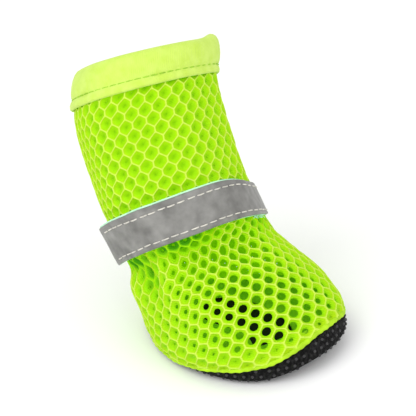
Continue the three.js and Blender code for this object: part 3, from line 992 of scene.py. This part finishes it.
HALF_FACE = [(0.0, 0.95), (0.02, 1.13), (0.08, 1.18), (0.13, 1.08), (0.18, 1.18), (0.34, 1.2)]
TAPE_FACE = HALF_FACE + [(0.5, 1.2)] + [(1 - s, offset) for s, offset in HALF_FACE[::-1]]
TAPE_PROFILE = TAPE_FACE + [(s, 0.55) for s, _ in TAPE_FACE[::-1]]
LINING_PROFILE = [(-0.015, 0.25), (-0.01, 0.5), (0.5, 0.5), (1.015, 0.5), (1.025, 0.25),
                  (1.015, 0.0), (0.5, 0.0), (-0.01, 0.0)]
strap_tape = strap_layer("strap_tape", TAPE_PROFILE, True)
strap_lining = strap_layer("strap_lining", LINING_PROFILE, False)
finish_piece(strap_tape, TAPE, "strap")
finish_piece(strap_lining, LINING)

# %% [markdown]
# ## The strap's stitches
# Two lines of pale thread run along the strap, 2 mm in from each edge. Their places come
# from the strap's own function, so they follow the climb and the tail. Each is a little
# off, by a seeded draw, because a machine's stitches in soft cloth are never quite even.

# %% Two lines along the strap
STITCH_DEGREES = 7.2       # close to 3.2 mm
STITCH_OFFSET = 1.12       # mm, in the pinch of the tape


def strap_stitches(name, share, seed):
    """Stitches evenly spaced along the winding, moved by up to 0.5 degrees and 0.008."""
    winding = np.arange(4, STRAP_END - 2, STITCH_DEGREES)
    draw = np.random.default_rng(seed)
    winding = winding + draw.uniform(-0.5, 0.5, len(winding))
    share = share + draw.uniform(-0.008, 0.008, len(winding))
    offset = STITCH_OFFSET + crinkle(winding, share)
    middles = wound(winding, share, offset)
    heading = wound(winding + 1, share, offset) - wound(winding - 1, share, offset)
    outward = wound(winding, share, offset + 1) - middles
    return add_stitches(name, middles, heading, outward, 2.7, 0.26)


lower_stitches = strap_stitches("strap_stitches_lower", 0.14, 3)
upper_stitches = strap_stitches("strap_stitches_upper", 0.86, 4)
finish_piece(lower_stitches, THREAD)
finish_piece(upper_stitches, THREAD)

# %% [markdown]
# ## Frayed threads
# Where the strap turns the front of the ankle, a few threads of the lining have come
# loose at its lower edge. Hair particles could make a fringe, but for a dozen threads the
# stitch function does: short tubes, each with its own direction from a seeded draw.

# %% Loose threads
FRAYS = 14
draw = np.random.default_rng(7)
fray_winding = draw.uniform(274, 290, FRAYS)
fray_share = draw.uniform(-0.06, -0.02, FRAYS)
fray_middles = wound(fray_winding, fray_share, np.full(FRAYS, 0.5))
fray_heading = draw.normal(0, 1, (FRAYS, 3)) * [1.0, 1.0, 0.7] + [0.3, 0.2, -0.8]
fray_outward = np.cross(fray_heading, draw.normal(0, 1, (FRAYS, 3)))
frayed_threads = add_stitches(
    "frayed_threads", fray_middles, fray_heading, fray_outward, 1.7, 0.12)
finish_piece(frayed_threads, LINING)

# %% [markdown]
# ## The sole
# The sole is a shallow pan of black coarse cloth: flat under the heel and forefoot, curled
# up at the toe, and turned up all round to meet the mesh. It is a dish of rings, each ring
# an egg outline, from the middle of the underside out, over the rim and back to the
# middle. A sculpted or subdivided box would need its edge shaped to the mesh by hand,
# while the dish's rim is taken from the last itself.

# %% The pan
FLOOR_EGG = (3.2, -0.4, 33.0, 25.0, 0.18)
PAN_EGG = (3.4, -0.4, 32.4, 24.4, 0.18)
DOT_HEIGHT = 0.45


def turn_up(flat, rim, share):
    """Quarter-round rings from a flat ring to a rim: out by sin, up by 1 - cos."""
    turn = np.pi / 2 * np.asarray(share)[:, None, None]
    rings = flat + (rim - flat) * np.sin(turn)
    rings[..., 2:] = flat[..., 2:] + (rim - flat)[..., 2:] * (1 - np.cos(turn))
    return rings


def sole_wall(shares, offset):
    """Rings on the last at shares of the way up to the seam, drawn in where overhung."""
    row = np.asarray(shares)[:, None] * seam_row(AROUND)
    return off_last(np.broadcast_to(AROUND, row.shape), row, offset - 0.7 * hang(AROUND))


FLAT_SHARES = (0.2, 0.4, 0.6, 0.7, 0.8, 0.9, 1.0)
TURN_SHARES = np.linspace(0, 1, 8)[1:]
outer_wall = sole_wall([0.0, 0.3, 0.6, 0.9, 1.0], -0.1)
inner_wall = sole_wall([1.0, 0.9, 0.5, 0.0], -SOLE_WALL)
outer_wall[-1] -= 0.3 * (outer_wall[-1] - inner_wall[0])      # a rounded rim
sole_rings = np.concatenate([
    [egg(FLOOR_EGG, DOT_HEIGHT, share) for share in FLAT_SHARES],
    turn_up(egg(FLOOR_EGG, DOT_HEIGHT), outer_wall[0], TURN_SHARES),
    outer_wall[1:],
    inner_wall[:-1],
    turn_up(egg(PAN_EGG, SOLE_WALL), inner_wall[-1], TURN_SHARES[::-1]),
    [egg(PAN_EGG, SOLE_WALL, share) for share in FLAT_SHARES[::-1]],
])
sole_cloth = add_grid("sole_cloth", sole_rings, (185.0, 130.0), caps=True)
finish_piece(sole_cloth, GRIP_FABRIC, "sole")

# %% [markdown]
# ## Grip dots
# Small rubber dots in offset rows keep the sole from slipping. Under the boot they lie on
# a flat staggered grid, cut off at the floor outline and lifted with the curl of the toe.
# Round the turned-up edge they sit in level rows, one above another, up to the seam.
# Geometry nodes could scatter so many dots, but places worked out as arrays keep to the
# rows exactly.

# %% Where the dots are
DOT_PITCH = (3.0, 2.5)                   # mm along and across the underside
DOTS_AROUND = 66                         # one every 3 mm round the edge
DOT_LEVELS = np.arange(1.6, 12.0, 2.2)   # mm above the floor


def dots_under():
    """Middles and directions of the dots on the underside, on a staggered grid."""
    i, j = (a.ravel() for a in np.meshgrid(np.arange(-16, 17), np.arange(-16, 17), indexing="ij"))
    x = (i + 0.5 * (j % 2)) * DOT_PITCH[0]
    y = j * DOT_PITCH[1]
    middle_x, middle_y, length, width, broad = FLOOR_EGG
    turn = np.arctan2((y - middle_y) / width, (x - middle_x) / length)
    across = width * (1 + broad * np.cos(turn))
    reach = np.hypot((x - middle_x) / length, (y - middle_y) / across)
    places = np.stack([x, y, DOT_HEIGHT + toe_curl(x)], -1)[reach < 0.95]
    slope = (toe_curl(places[:, 0] + 0.1) - toe_curl(places[:, 0])) / 0.1
    downward = np.stack([slope, np.zeros(len(slope)), -np.ones(len(slope))], -1)
    return places, downward / np.linalg.norm(downward, axis=1, keepdims=True)


def outer_wall_at(height):
    """Ring of the sole's outer face at a height, and where that height lies on the wall.

    Below the wall's foot a point follows the quarter round: out by the sine of the turn
    whose 1 - cosine is its share of the way up. Above, it goes straight on to the top.
    """
    foot, low, top = egg(FLOOR_EGG, DOT_HEIGHT), outer_wall[0], outer_wall[3]
    climb = (height - foot[:, 2]) / (low[:, 2] - foot[:, 2])
    turn = np.arccos(np.clip(1 - climb, 0, 1))
    ring = foot + (low - foot) * np.sin(turn)[:, None]
    above = np.clip((height - low[:, 2]) / (top[:, 2] - low[:, 2]), 0, 1)
    ring = ring + (top - low) * above[:, None]
    ring[:, 2] = height
    return ring, (height > foot[:, 2] + 0.5) & (height < top[:, 2] - 0.6)


def dots_on_wall():
    """Dots round the turned-up edge, every other level shifted by half a dot."""
    places, directions = [], []
    for level, height in enumerate(DOT_LEVELS):
        ring, on_wall = outer_wall_at(height)
        higher, _ = outer_wall_at(height + 0.3)
        around = np.roll(ring, -1, 0) - np.roll(ring, 1, 0)
        outward = np.cross(around, higher - ring)
        outward /= np.linalg.norm(outward, axis=1, keepdims=True)
        pick = (np.arange(DOTS_AROUND) + 0.5 * (level % 2)) * len(ring) / DOTS_AROUND
        pick = np.round(pick).astype(int) % len(ring)
        pick = pick[on_wall[pick]]
        places.append(ring[pick])
        directions.append(outward[pick])
    return np.concatenate(places), np.concatenate(directions)


under, on_edge = dots_under(), dots_on_wall()
print("dots:", len(under[0]), "under the boot and", len(on_edge[0]), "round its edge")

# %% [markdown]
# ## Domes of rubber
# A printed dot is a low dome. Each is three rings of eight points and a top, sunk a little
# into the cloth, and all are joined in one mesh, since so many objects would be slow.

# %% The domes
DOME = np.array([(0.0, 1.0), (0.55, 0.85), (0.9, 0.35), (1.0, -0.4)])   # radius, height
DOT_SIDES = 8
DOT_RADIUS = 0.6


def add_dots(name, middles, outward, radius, height):
    """Low domes on their places: rings round each outward direction, closed below."""
    helper = np.where(np.abs(outward[:, :1]) < 0.8, [[1.0, 0, 0]], [[0, 1.0, 0]])
    side = np.cross(outward, helper)
    side /= np.linalg.norm(side, axis=1, keepdims=True)
    other = np.cross(outward, side)
    turn = np.radians(np.arange(0, 360, 360 / DOT_SIDES))
    circle = side[:, None] * np.cos(turn)[:, None] + other[:, None] * np.sin(turn)[:, None]
    rings = (middles[:, None, None] + circle[:, None] * (DOME[1:, 0] * radius)[:, None, None]
             + outward[:, None, None] * (DOME[1:, 1] * height)[:, None, None])
    tops = middles + outward * height
    points = np.concatenate([rings.reshape(len(middles), -1, 3), tops[:, None]], 1)
    pairs = grid_faces(len(DOME) - 1, DOT_SIDES)
    band = pairs[..., 0] * DOT_SIDES + pairs[..., 1] % DOT_SIDES
    c = np.arange(DOT_SIDES)
    top = np.stack([(c + 1) % DOT_SIDES, np.full(DOT_SIDES, points.shape[1] - 1), c], -1)
    bottom = (c + (len(DOME) - 2) * DOT_SIDES)[::-1]
    start = np.arange(len(middles))[:, None, None] * points.shape[1]
    faces = (band[:, ::-1] + start).reshape(-1, 4).tolist()
    faces += (top + start).reshape(-1, 3).tolist() + (bottom + start[:, 0]).tolist()
    return add_mesh(name, points.reshape(-1, 3), faces)


middles, outward = (np.concatenate(pair) for pair in zip(under, on_edge))
grip_dots = add_dots("grip_dots", middles, outward, DOT_RADIUS, DOT_HEIGHT)
finish_piece(grip_dots, GRIP_RUBBER)

# %% [markdown]
# ## The inner sole
# A thin flat pad of black cloth lies in the pan and follows its curl. It is what shows as
# black through the holes of the vamp. It is made like the pan, as rings of an egg outline
# from the middle out and back, with a soft rounded edge between its two faces.

# %% The pad
PAD_SHARES = (0.3, 0.65, 0.8, 0.9, 0.97)
PAD_EDGE = (0.995, 0.3)       # share of the outline, and mm from the faces
pad_rings = np.array(
    [egg(INNER_EGG, INNER_LOW, share) for share in PAD_SHARES]
    + [egg(INNER_EGG, INNER_LOW + PAD_EDGE[1], PAD_EDGE[0])]
    + [egg(INNER_EGG, INNER_HIGH - PAD_EDGE[1], PAD_EDGE[0])]
    + [egg(INNER_EGG, INNER_HIGH, share) for share in PAD_SHARES[::-1]])
inner_sole = add_grid("inner_sole", pad_rings, (170.0, 60.0), caps=True)
finish_piece(inner_sole, INNER_CLOTH, "insole")

# %% [markdown]
# ## The floor
# The boot stands on a plain white floor, far wider than the camera sees, so no edge of it
# shows. It's rough, so that it takes a soft contact shadow and no reflection.

# %% A plane of white
bpy.ops.mesh.primitive_plane_add(size=8)
floor = bpy.context.object
floor.name = "floor"
floor.data.materials.append(new_material("white floor", (0.9, 0.9, 0.9), 0.9)[0])
print("floor:", round(floor.dimensions.x, 1), "m")

# %% [markdown]
# ## The light
# Small holes want soft, even light, or they drown in hard shadows. Most of it comes from
# a white sky all round. One broad lamp above, to the camera's left, gives the boot its
# form, and a weaker one on the other side lifts the shadows.

# %% The lamps
world = bpy.data.worlds.new("studio")
world.use_nodes = True
world.node_tree.nodes["Background"].inputs["Color"].default_value = (1, 1, 1, 1)
world.node_tree.nodes["Background"].inputs["Strength"].default_value = 0.9
bpy.context.scene.world = world


def soft_light(name, place, size, power):
    """A square area light at a place in metres, aimed at the middle of the boot."""
    data = bpy.data.lights.new(name, "AREA")
    data.size, data.energy = size, power
    lamp = bpy.data.objects.new(name, data)
    lamp.location = place
    back = Vector(place) - Vector((-0.01, 0, 0.045))
    lamp.rotation_euler = back.to_track_quat("Z", "Y").to_euler()
    bpy.context.scene.collection.objects.link(lamp)


soft_light("key", (-0.1, -0.8, 0.9), 1.1, 7)
soft_light("fill", (0.8, -0.3, 0.6), 0.8, 3)
print("lamps:", len(bpy.data.lights))

# %% [markdown]
# ## The camera
# The camera looks down from the boot's right front, rolled a little, and from far off
# through a long lens, so that the boot keeps its proportions. Its three axes are worked
# out from two angles and the roll, and become the columns of its matrix. That is exact,
# where aiming by hand or by a constraint would lose the roll.

# %% Looking at the boot
AZIMUTH, ELEVATION, ROLL = (math.radians(a) for a in (40.3, 27.5, 6.0))
DISTANCE, LENS = 0.62, 164.0
AIM, AIM_RIGHT, AIM_UP = Vector((0, 0, 0.04)), -0.0056, 0.0059
back = Vector((
    math.sin(AZIMUTH) * math.cos(ELEVATION),
    -math.cos(AZIMUTH) * math.cos(ELEVATION),
    math.sin(ELEVATION),
))
level = Vector((math.cos(AZIMUTH), math.sin(AZIMUTH), 0))
upright = back.cross(level)
right = math.cos(ROLL) * level - math.sin(ROLL) * upright
up = math.sin(ROLL) * level + math.cos(ROLL) * upright
target = AIM + AIM_RIGHT * right + AIM_UP * up
camera = bpy.data.objects.new("camera", bpy.data.cameras.new("camera"))
camera.data.lens = LENS
turned = Matrix((right, up, back)).transposed().to_4x4()
camera.matrix_world = Matrix.Translation(target + DISTANCE * back) @ turned
bpy.context.scene.collection.objects.link(camera)
bpy.context.scene.camera = camera
bpy.context.scene.view_settings.view_transform = "Standard"
print("camera at", [round(c, 3) for c in camera.matrix_world.translation])
